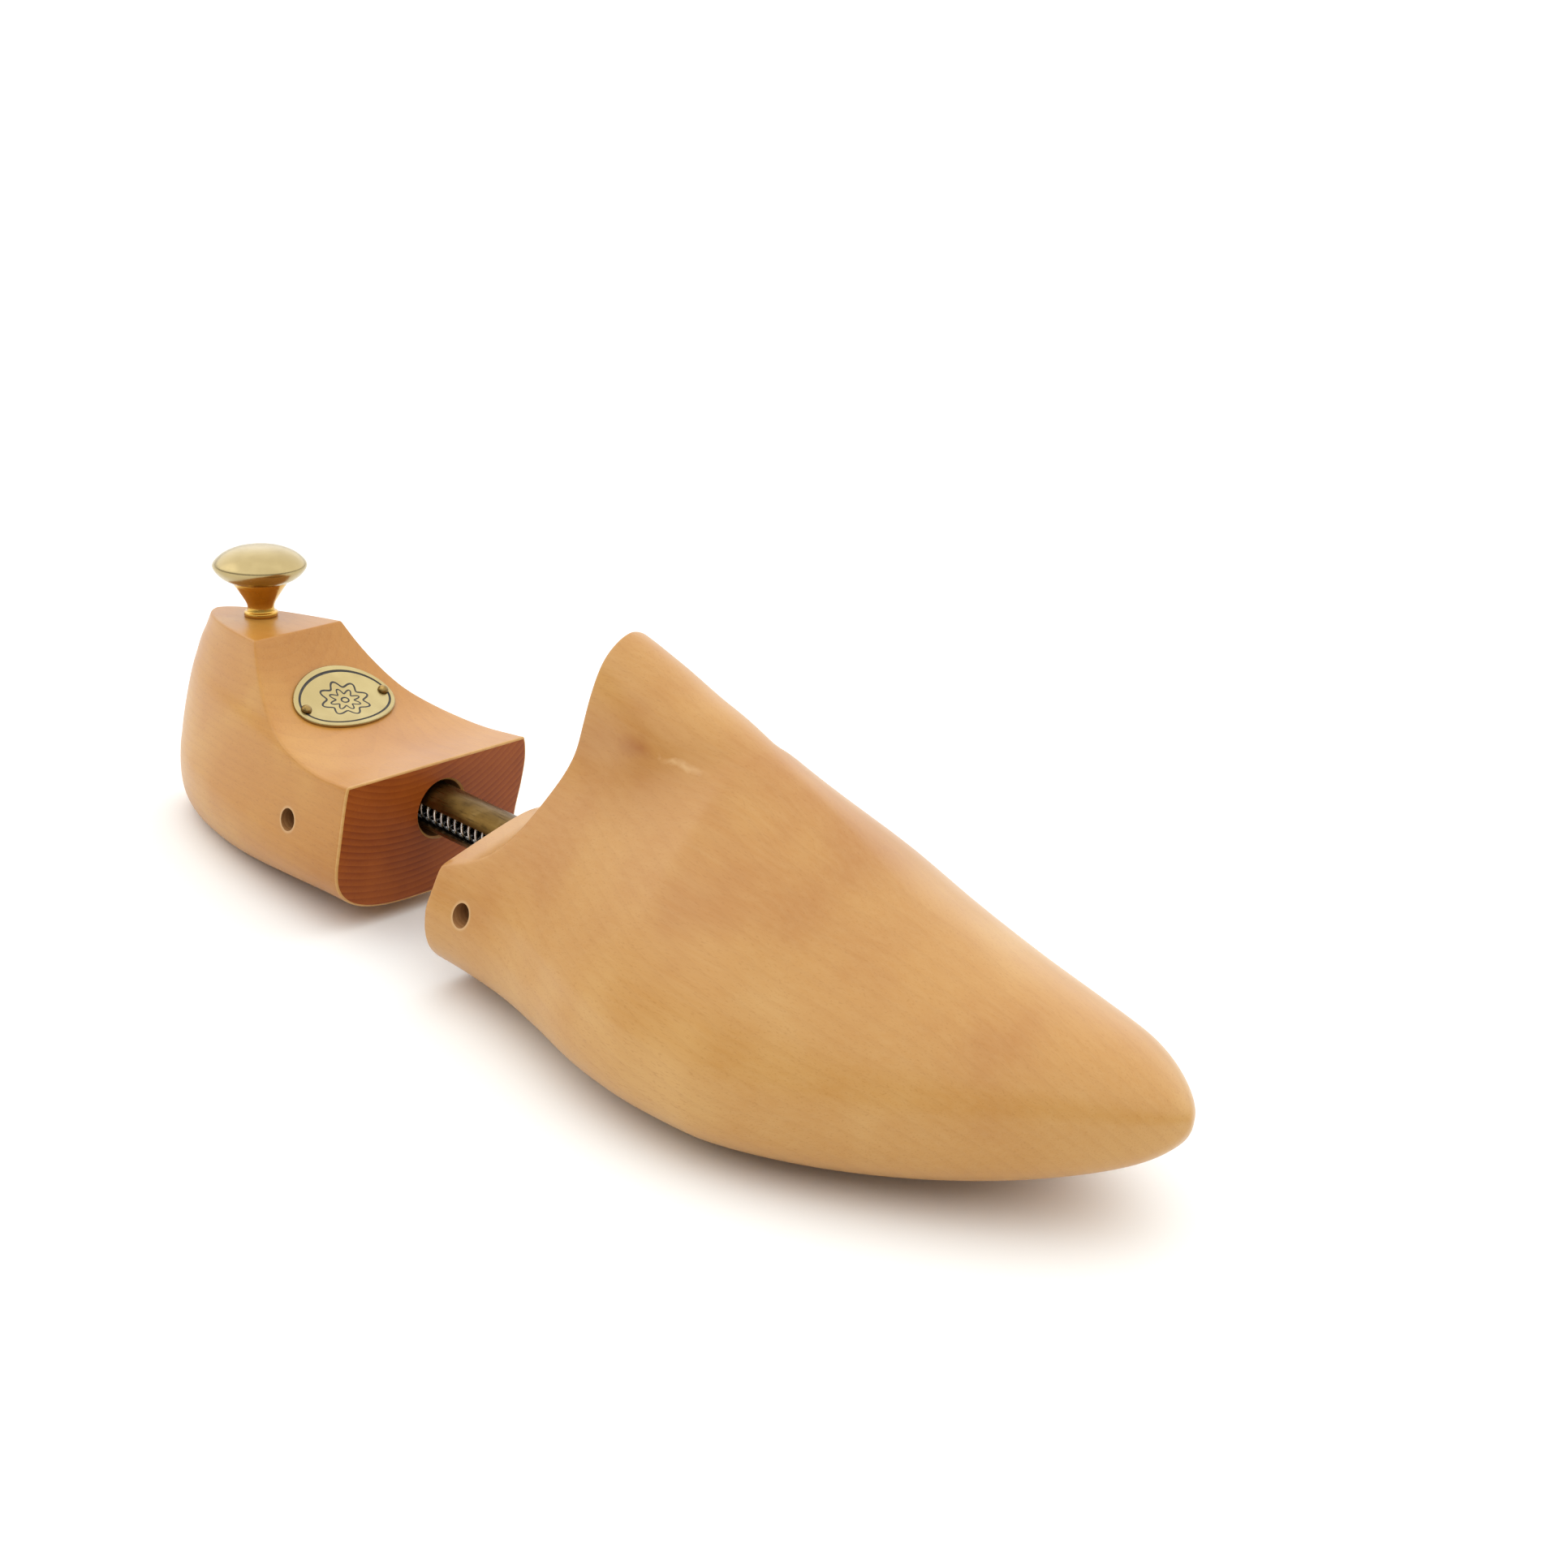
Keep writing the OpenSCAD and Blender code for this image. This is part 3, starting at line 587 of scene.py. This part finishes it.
def fore_sheets():
    """Grids of the forepart: two skins, their eased rims, the flat rear face
    below the hollow's lip, and the hollow itself."""
    probe = np.linspace(1.0, 2.0, 2001)
    sheets, rims, lips = [], [], []
    for side in (-1.0, 1.0):
        p = fore_point(fore_start(probe, side), probe, side)
        lip = probe[np.argmax(p[:, 2] + 0.3 * (np.sqrt(p[:, 1] ** 2 + 36) - 6) > 35.5)]
        b = share([(0, 0.9, 60), (0.9, lip - 0.03, 22), (lip - 0.03, lip + 0.03, 9),
                   (lip + 0.03, 1.6, 34), (1.6, 2.0, 26)])
        size = 0.8 * np.clip((2.0 - b) / 0.15, 0, 1)
        start, skin = fore_skin(b, side, size)
        corner = fore_point(start, b, side)
        corner[:, 0] = FORE_FACE + hollow(corner[:, 1], corner[:, 2])
        sheets.append((skin, 0))
        ahead = unit(fore_point(start + 1.0, b, side) - fore_point(start, b, side))
        rims.append((corner, skin[0], ahead, size))
        lips.append(int(np.argmin(np.abs(b - lip))))
    # inner edge of the easing: in towards the middle of the rear surface
    inner = []
    for side, (corner, first, ahead, size) in zip((-1.0, 1.0), rims):
        along = np.gradient(corner, axis=0)
        inward = unit(np.stack([0 * along[:, 0], -along[:, 2], along[:, 1]], -1)) * side
        inward[0] = (0, 0, 1)
        move = corner + inward * size[:, None]
        move[:, 0] = FORE_FACE + hollow(move[:, 1], move[:, 2])
        step = unit(move - corner)
        arc = eased_edge(corner, ahead, step, size[:, None])
        arc[0], arc[-1] = first, move
        sheets.append((arc, 0))
        inner.append(arc[-1])
    left, right = inner
    kl, kr = lips
    t = np.linspace(0, 1, 41)[None, :, None]

    def across(p, q):
        """Lines of equal height on the hollow between two rims."""
        drop = lambda y: 0.3 * (np.sqrt(y * y + 36) - 6)
        y = p[:, None, 1] + (q - p)[:, None, 1] * t[..., 0]
        hp, hq = p[:, 2] + drop(p[:, 1]), q[:, 2] + drop(q[:, 1])
        z = hp[:, None] + (hq - hp)[:, None] * t[..., 0] - drop(y)
        grid = np.stack([FORE_FACE + hollow(y, z), y, z], -1)
        grid[:, 0], grid[:, -1] = p, q
        return grid
    bowl = across(left[kl:], right[kr:])
    sheets.append((bowl, 0))
    rim = np.concatenate([left[:kl], bowl[0], right[:kr][::-1]])
    centre = np.array([FORE_FACE, TUBE_Y, TUBE_Z - 3.0])
    fall = np.concatenate([[0, 0.015, 0.035, 0.06, 0.09], np.linspace(0.14, 1, 14)])[:, None, None]
    rings = rim + (centre - rim) * fall
    rings[1:, :, 0] = FORE_FACE + hollow(rings[1:, :, 1], rings[1:, :, 2])
    sheets.append((rings, 0))
    return sheets


forepart = piece("forepart_turned", fore_sheets(), [fore_honey])
fore_bore = piece("fore_bore_tool", [(revolved(
    [[0, 60], [6.35, 60], [6.35, 94.8], [5.86, 95.5], [5.85, 122.2], [0, 122.2]],
    (0, TUBE_Y, TUBE_Z), tube_line), 0)], [bare_bore])
cut(forepart, [fore_bore, pin_tools(FORE_PIN_X, 24.0)], 32)
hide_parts("forepart")
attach(forepart, "fore")

# ---------------------------------------------------------------- tube
# Drawn brass tube, 11.6 mm outside with a 1 mm wall, gone olive and specked
# where it is never polished. It is pinned in the forepart; two milled slots
# let the heel block's pin travel along it.
def metal(name, colours, rough, specks=(0.0, "000000"), scale=0.09, finish="polished", painted_dark_inside=None):
    """Brass or steel: a metal whose colour wanders between three tones over
    some millimetres, with dark specks a third of a millimetre wide; polishing
    or drawing leaves the small swings in roughness that show as haze. A drawn
    finish has fine ridges too. Inside, near a given axis, the colour is painted
    near black: painted shade."""
    m, tree, bsdf = new_material(name, Metallic=1.0, Roughness=rough[0])
    place = add(tree, "TexCoord").outputs["Object"]
    mm = add(tree, "Mapping", [("Vector", place)], Scale=(1000, 1000, 1000)).outputs[0]
    drawn = (0.15, 1.6, 1.6) if finish == "drawn" else (1.0, 1.0, 1.0)
    line = add(tree, "Mapping", [("Vector", mm)], Scale=drawn).outputs[0]
    cloud = add(tree, "TexNoise", [("Vector", mm)], Scale=scale, Detail=3.0, Roughness=0.6)
    grit = add(tree, "TexNoise", [("Vector", line)], Scale=1.1, Detail=4.0, Roughness=0.65)
    tone = ramp(tree, cloud.outputs["Fac"], [(0.3, colours[0]), (0.5, colours[1]), (0.7, colours[2])])
    tone = blended(tree, band(tree, grit.outputs["Fac"], 0.56, 0.7, 0.0, specks[0]), tone, specks[1])
    # painted shade: near black within the given radius of the axis
    if painted_dark_inside:
        tone = blended(tree, near_axis(tree, mm, *painted_dark_inside), tone, "1A140A")
    tree.links.new(tone, bsdf.inputs["Base Color"])
    haze = band(tree, grit.outputs["Fac"], 0.35, 0.7, rough[0], rough[1])
    tree.links.new(haze, bsdf.inputs["Roughness"])
    fine = add(tree, "Bump", [("Height", grit.outputs["Fac"])], 
               Strength={"drawn": 0.06, "polished": 0.01, "rolled": 0.0}[finish], Distance=0.00005)
    tree.links.new(fine.outputs[0], bsdf.inputs["Normal"])
    return m


# the tube's inner wall, inside 5 mm of its axis, is painted near black: painted shade inside the tube
old_brass = metal("drawn_brass_tube_tarnished", ("4B3719", "644C25", "7A623A"), (0.26, 0.5),
                  (0.6, "241B0C"), 0.12, "drawn", ((0, 2.26, 24.4), (1, 0, 0), 4.9, 5.2))
TUBE_BACK, TUBE_FRONT = 30.0, FORE_FACE + 27.0
tube = piece("tube_drawn", [(revolved(
    [[4.8, TUBE_BACK + 0.15], [4.95, TUBE_BACK], [5.65, TUBE_BACK], [5.8, TUBE_BACK + 0.15],
     [5.8, TUBE_FRONT - 0.15], [5.65, TUBE_FRONT], [4.95, TUBE_FRONT], [4.8, TUBE_FRONT - 0.15],
     [4.8, TUBE_BACK + 0.15]], (0, TUBE_Y, TUBE_Z), tube_line), 0)], [old_brass])


def slot_cutter(start, length, width):
    """Straight bar with round ends that lies across the tube and leans with
    the pins: a stadium outline carried along the pin's line."""
    a = np.linspace(0, 2 * np.pi, 65)
    x = np.where(np.cos(a) > 0, length - width / 2, width / 2) + width / 2 * np.cos(a) + start
    up = width / 2 * np.sin(a)
    lean = np.array([0, math.cos(PIN_LEAN), math.sin(PIN_LEAN)])
    rise = np.array([0, -math.sin(PIN_LEAN), math.cos(PIN_LEAN)])
    rows = []
    for reach, grow in ((-12, 0), (-12, 1), (12, 1), (12, 0)):
        mid = start + length / 2
        rows.append(np.array([0, TUBE_Y, TUBE_Z]) + reach * lean + grow * up[:, None] * rise
                    + np.stack([mid + grow * (x - mid), 0 * x, 0 * x], -1))
    return piece("slot_cutter", [(np.stack(rows), 0)], [old_brass])


tube_pin = piece("tube_pin_drill", [(revolved([[0, -12], [2.45, -12], [2.45, 12], [0, 12]],
                                              (FORE_PIN_X, TUBE_Y, TUBE_Z),
                                              PIN_LINE, turns=48), 0)],
                 [old_brass])
cut(tube, [slot_cutter(HEEL_PIN_X - 2.5, 43.5, 5.0), tube_pin], 30)
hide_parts("tube")
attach(tube, "fore")

# ---------------------------------------------------------------- spring
# Compression spring of bright drawn steel wire, 9 mm across, with a closed turn
# at each end, held between the two cross pins. The wire is drawn at 0.76 mm, a
# little thinner than its 1 mm, so that the gaps between the turns show dark.
COILS = 25


def spring_wire():
    """Circle of the wire carried round a helix. The lead is 1.1 wires on the
    end turns and spread evenly over the others."""
    first, last = HEEL_PIN_X + 3.0, FORE_PIN_X - 3.0
    n = np.linspace(0, COILS, COILS * 30 + 1)
    open_lead = (last - first - 2.2) / (COILS - 2)
    x = first + np.where(n < 1, 1.1 * n, np.where(n > COILS - 1, last - first - 1.1 * (COILS - n),
                                                  1.1 + open_lead * (n - 1)))
    a = 2 * np.pi * n
    mid = np.stack([x, TUBE_Y + 4 * np.cos(a), TUBE_Z + 4 * np.sin(a)], -1)
    out = np.stack([0 * a, np.cos(a), np.sin(a)], -1)
    side = unit(np.cross(np.gradient(mid, axis=0), out))
    w = np.linspace(0, 2 * np.pi, 11)[:, None, None]
    wire = mid + 0.38 * (np.cos(w) * out + np.sin(w) * side)
    return np.concatenate([mid[None, :1].repeat(11, 0), wire, mid[None, -1:].repeat(11, 0)], 1)


wire_steel = metal("spring_wire_bright_steel", ("A9AAAC", "C2C2C0", "D6D3CC"), (0.16, 0.34),
                   (0.25, "4A4640"), 0.3)
spring = piece("spring_coiled", [(spring_wire(), 0)], [wire_steel], sharp=50)
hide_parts("spring")
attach(spring, "fore")
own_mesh(spring)

# ---------------------------------------------------------------- cross pins
# Two 4.8 mm brass rods, cut off and lightly domed at the ends, driven in from
# the side and left deep in their holes, where they have gone brown.
pin_brass = metal("cross_pin_brass_darkened", ("4A3A20", "5E4B2C", "77603A"), (0.35, 0.55),
                  (0.5, "1F170C"))
for pin_name, pin_body, pin_x, half in (("heel_pin", "heel", HEEL_PIN_X, 19.0),
                                        ("forepart_pin", "fore", FORE_PIN_X, 24.0)):
    domed = [[2.35 * math.sin(u), -half + 0.35 * (1 - math.cos(u))]
             for u in np.linspace(0, 1, 6) * math.pi / 2]
    profile = domed + [[2.4, -half + 0.55], [2.4, half - 0.55]] + [[r, -h] for r, h in domed[::-1]]
    pin = piece(pin_name + "_rod", [(revolved(profile, (pin_x, TUBE_Y, TUBE_Z),
                                              PIN_LINE, turns=48), 0)],
                [pin_brass], sharp=40)
    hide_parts(pin_name)
    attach(pin, pin_body)

# ---------------------------------------------------------------- pull knob
# A neck and collar turned from brass bar, with a thin pressed dome crimped
# over its head; both are buffed bright. A screw runs up into it through the
# flat top of the heel block, hidden in the wood.
KNOB_X, KNOB_Y = -2.5, 2.4
deck_lean = math.atan(DECK_SLOPE)
knob_foot = (KNOB_X, KNOB_Y, DECK_HEIGHT + DECK_SLOPE * KNOB_X)
knob_line = (-math.sin(deck_lean), 0.0, math.cos(deck_lean))
bright_brass = metal("knob_dome_brass_buffed", ("A59368", "B09E72", "BBAA7E"), (0.2, 0.28),
                     (0.05, "7A5C26"), 0.07)


neck_brass = metal("knob_neck_brass_turned", ("B98E3C", "C79C48", "D3AB58"), (0.16, 0.28),
                   (0.05, "7A5C26"), 0.07)


def flowing(points, steps):
    """Smooth line through profile points, each coordinate a curve() of the
    length along the chords."""
    p = np.array(points, float)
    run = np.concatenate([[0], np.cumsum(np.linalg.norm(np.diff(p, axis=0), axis=1))])
    s = np.linspace(0, run[-1], steps)
    return np.stack([curve(np.stack([run, p[:, k]], 1), s) for k in (0, 1)], 1)


dome_out = flowing([[6.95, 8.62], [7.6, 8.88], [8.5, 9.3], [9.4, 9.9], [10.2, 10.65], [10.85, 11.45],
                    [11.2, 12.1], [11.3, 12.7], [10.95, 13.4], [10.05, 14.36], [8.9, 15.23],
                    [7.4, 16], [5.6, 16.6], [3.4, 16.97], [1.6, 17.08], [0, 17.1]], 90)
dome_in = flowing([[0, 16.4], [3.3, 16.27], [5.4, 15.92], [8.5, 14.65], [10.35, 13.05], [10.6, 12.6],
                   [10.2, 11.7], [8.95, 10.4], [7.35, 9.52], [6.8, 9.35]], 30)
lip = [[6.8, 9.35], [6.72, 8.8], [6.74, 8.64], [6.82, 8.58], [6.95, 8.62]]
dome = piece("knob_dome_pressed", [(revolved(np.concatenate([dome_out, dome_in[1:-1], lip]),
                                             knob_foot, knob_line, turns=160), 0)],
             [bright_brass], sharp=50)
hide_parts("knob_dome")
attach(dome, "heel")

neck_line = flowing([[3.32, 1.5], [3.2, 2.3], [3.45, 3.3], [3.95, 4.2], [4.47, 5.05], [5.04, 5.9],
                     [5.62, 6.8], [6.2, 7.65], [6.62, 8.38]], 40)
collar = [[0, 0.02], [3.75, 0.02], [3.95, 0.08], [4.04, 0.22], [4.06, 0.45], [4.06, 0.85],
          [4.02, 1.02], [3.92, 1.14], [3.7, 1.2], [3.5, 1.24], [3.38, 1.34]]
head = [[6.7, 8.5], [6.7, 9.45], [7.3, 9.65], [8.1, 10.03], [8.85, 10.5], [9.5, 11.12], [10, 11.75],
        [10.3, 12.3], [10.3, 12.6], [0, 13.2]]
neck = piece("knob_neck_turned", [(revolved(np.concatenate([collar, neck_line, head]), knob_foot,
                                            knob_line, turns=128), 0)], [neck_brass], sharp=42)
socket = piece("neck_socket", [(revolved([[0, -1], [2.05, -1], [2.05, 8], [0, 8]], knob_foot, knob_line,
                                         turns=48), 0)], [bright_brass])
cut(neck, [socket], 42)
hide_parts("knob_neck")
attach(neck, "heel")
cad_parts["knob_screw"].data.materials.clear()
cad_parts["knob_screw"].data.materials.append(
    metal("knob_screw_zinc_plated", ("8E8E8C", "A3A3A0", "B5B5B2"), (0.3, 0.45), (0.3, "55534E")))

# ---------------------------------------------------------------- heel plate
# Oval of brass sheet, rolled to the saddle's hollow and buffed, with a plain
# engraved line round it and a rosette in black wax. Two domed pins hold it.
PLATE_X, PLATE_Y, PLATE_HALF_W, PLATE_HALF_L = 29.8, 1.2, 9.5, 14.25
NAIL_Y = 11.9
saddle_run = float(1 / np.sqrt(1 + (saddle_height(PLATE_X + 0.5) - saddle_height(PLATE_X - 0.5)) ** 2))


def on_saddle(u, v, h):
    """Point u along the saddle and v across it from the plate's centre, at
    height h over the wood along the wood's own normal."""
    x = PLATE_X + u * saddle_run
    q = saddle_height(x + 0.5) - saddle_height(x - 0.5)
    l = np.sqrt(1 + q * q)
    return np.stack([x - q / l * h, PLATE_Y + v + 0 * x, saddle_height(x) + h / l], -1)


plate_brass = metal("heel_plate_brass_buffed", ("A09161", "AA996B", "B5A576"), (0.27, 0.27),
                    (0.0, "9A8550"), 0.06, "rolled")
wax = new_material("engraving_black_wax", Roughness=0.55)[0]
wax_tree = wax.node_tree
wax_place = add(wax_tree, "TexCoord").outputs["Object"]
wax_mm = add(wax_tree, "Mapping", [("Vector", wax_place)], Scale=(1000, 1000, 1000)).outputs[0]
wax_noise = add(wax_tree, "TexNoise", [("Vector", wax_mm)], Scale=0.9)
wax_tree.links.new(ramp(wax_tree, wax_noise.outputs["Fac"], [(0.3, "1A1712"), (0.8, "3A3226")]),
                   wax_tree.nodes["Principled BSDF"].inputs["Base Color"])


def plate_sheets():
    """Oval in polar steps: underside, rolled edge, and a face with a shallow
    V groove near its rim. Radius is a share of the oval's."""
    a = np.linspace(0, 2 * np.pi, 145)
    def ring(share_out, h, inset=0.0):
        """Oval at a share of the full size, less the inset, at height h."""
        u = (PLATE_HALF_W * share_out - inset) * np.cos(a)
        v = (PLATE_HALF_L * share_out - inset) * np.sin(a)
        return on_saddle(u, v, h)
    under = [ring(s, 0.06) for s in np.linspace(0, 0.97, 8)]
    edge = [ring(1, 0.06 + 0.8 * t, 0.28 * (1 - math.sin(math.pi * t)) * (0.4 + 0.6 * t))
            for t in np.linspace(0, 1, 9)]
    flat = [ring(1, 0.86, d) for d in (0.4, 0.7, 1.0, 1.18)]
    groove = [ring(1, 0.86 - d, e) for d, e in ((0.0, 1.2), (0.12, 1.34), (0.12, 1.66), (0.0, 1.8))]
    inner = [ring(1, 0.86, d) for d in (1.82, 2.02)]
    inner += [ring(s, 0.86) for s in np.linspace(0.78, 0, 12)]
    return [(np.stack(under + edge + flat + groove[:1]), 0), (np.stack(groove), 1),
            (np.stack(groove[-1:] + inner), 0)]


plate = piece("heel_plate_oval", plate_sheets(), [plate_brass, wax], sharp=40)


def wax_line(u, v, wide):
    """Ribbon along a closed line on the plate, crowned in the middle and with
    its edges just under the brass."""
    line = np.stack([u, v], -1)
    along = unit(np.roll(line[:-1], -1, 0) - np.roll(line[:-1], 1, 0))
    along = np.concatenate([along, along[:1]])
    out = np.stack([along[:, 1], -along[:, 0]], -1)
    rows = []
    for s, h in ((-1, 0.845), (-0.6, 0.872), (0, 0.878), (0.6, 0.872), (1, 0.845), (-1, 0.845)):
        p = line + out * wide * s
        rows.append(on_saddle(p[:, 0], p[:, 1], h))
    return np.stack(rows)


turn = np.linspace(0, 2 * np.pi, 289)
rosette = []
for size, petals, depth, wide in ((4.7, 8, 0.16, 0.32), (2.7, 8, 0.26, 0.26), (0.8, 1, 0.0, 0.3)):
    r = size * (1 + depth * np.cos(petals * turn))
    rosette.append((wax_line(r * np.cos(turn), r * 1.25 * np.sin(turn), wide), 0))
motif = piece("heel_plate_rosette", rosette, [wax], sharp=50)
for item in (plate, motif):
    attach(item, "heel")
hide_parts("name_plate")

nail_bronze = metal("plate_pin_bronze_aged", ("65512F", "897042", "B29357"), (0.24, 0.4),
                    (0.4, "2A2112"), 0.5)
normal_at = on_saddle(np.array(0.0), np.array(0.0), 1.0) - on_saddle(np.array(0.0), np.array(0.0), 0.0)
for nail_name, side in (("plate_pin_outer", -1), ("plate_pin_inner", 1)):
    foot = on_saddle(np.array(0.0), np.array(side * NAIL_Y), 0.0)
    u = np.linspace(0, math.pi / 2, 12)
    cap = [[1.3 * math.cos(t), 1.02 + 0.95 * math.sin(t)] for t in u]
    nail = piece(nail_name + "_domed", [(revolved(
        [[0, -6], [0.25, -6], [0.68, -5], [0.68, 0.9], [1.2, 0.9], [1.3, 0.96]] + cap,
        foot, normal_at, turns=48), 0)], [nail_bronze], sharp=45)
    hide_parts(nail_name)
    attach(nail, "heel")

# ---------------------------------------------------------------- studio
# White seamless table under one very wide soft light, with a weak panel on the
# left, in a pale room that darkens only on the near side, where the brass
# takes its dark band from.
floor_mesh = bpy.data.meshes.new("studio_floor")
reach, below = 40, -0.0002
floor_mesh.from_pydata([(-reach, -reach, below), (reach, -reach, below), (reach, reach, below),
                        (-reach, reach, below)], [], [(0, 1, 2, 3)])
floor = bpy.data.objects.new("studio_floor", floor_mesh)
scene.collection.objects.link(floor)
floor_mesh.materials.append(new_material("studio_paper_white", Roughness=0.9, Specular_IOR_Level=0.2,
                                         Base_Color=linear("F4F4F2"))[0])

for lamp_name, kind, power, size, where in (
        ("sky_soft", "SUN", 2.5, math.radians(140), (-0.25, 0.25, 1.35)),
        ("softbox_left", "AREA", 1.0, 0.9, (-1.1, -0.7, 0.8))):
    lamp = bpy.data.objects.new(lamp_name, bpy.data.lights.new(lamp_name, kind))
    lamp.data.energy = power
    setattr(lamp.data, "angle" if kind == "SUN" else "size", size)
    back = unit(np.array(where))
    right = unit(np.cross([0.0, 0.01, 1.0], back))
    up = np.cross(back, right)
    rows = [[float(right[k]), float(up[k]), float(back[k]), where[k]] for k in range(3)]
    lamp.matrix_world = Matrix(rows + [[0, 0, 0, 1]])
    scene.collection.objects.link(lamp)

room = bpy.data.worlds.new("studio_room")
scene.world = room
room.use_nodes = True
sky = room.node_tree
sky.nodes.clear()
way = add(sky, "TexCoord").outputs["Generated"]
level = add(sky, "SeparateXYZ", [("Vector", way)]).outputs["Z"]
front = add(sky, "VectorMath", [(0, way)], operation="DOT_PRODUCT")
front.inputs[1].default_value = (0.6, -0.8, 0.0)
walls = ramp(sky, band(sky, front.outputs["Value"], -1.0, 1.0), [(0.2, "FFFFFF"), (0.55, "BBB7B0"),
                                                                 (0.9, "8A857C")])
shade = blended(sky, band(sky, level, 0.02, 0.6), walls, "F4F4F2")
glow = add(sky, "Background", [("Color", shade)], Strength=0.85)
add(sky, "OutputWorld", [("Surface", glow.outputs[0])])
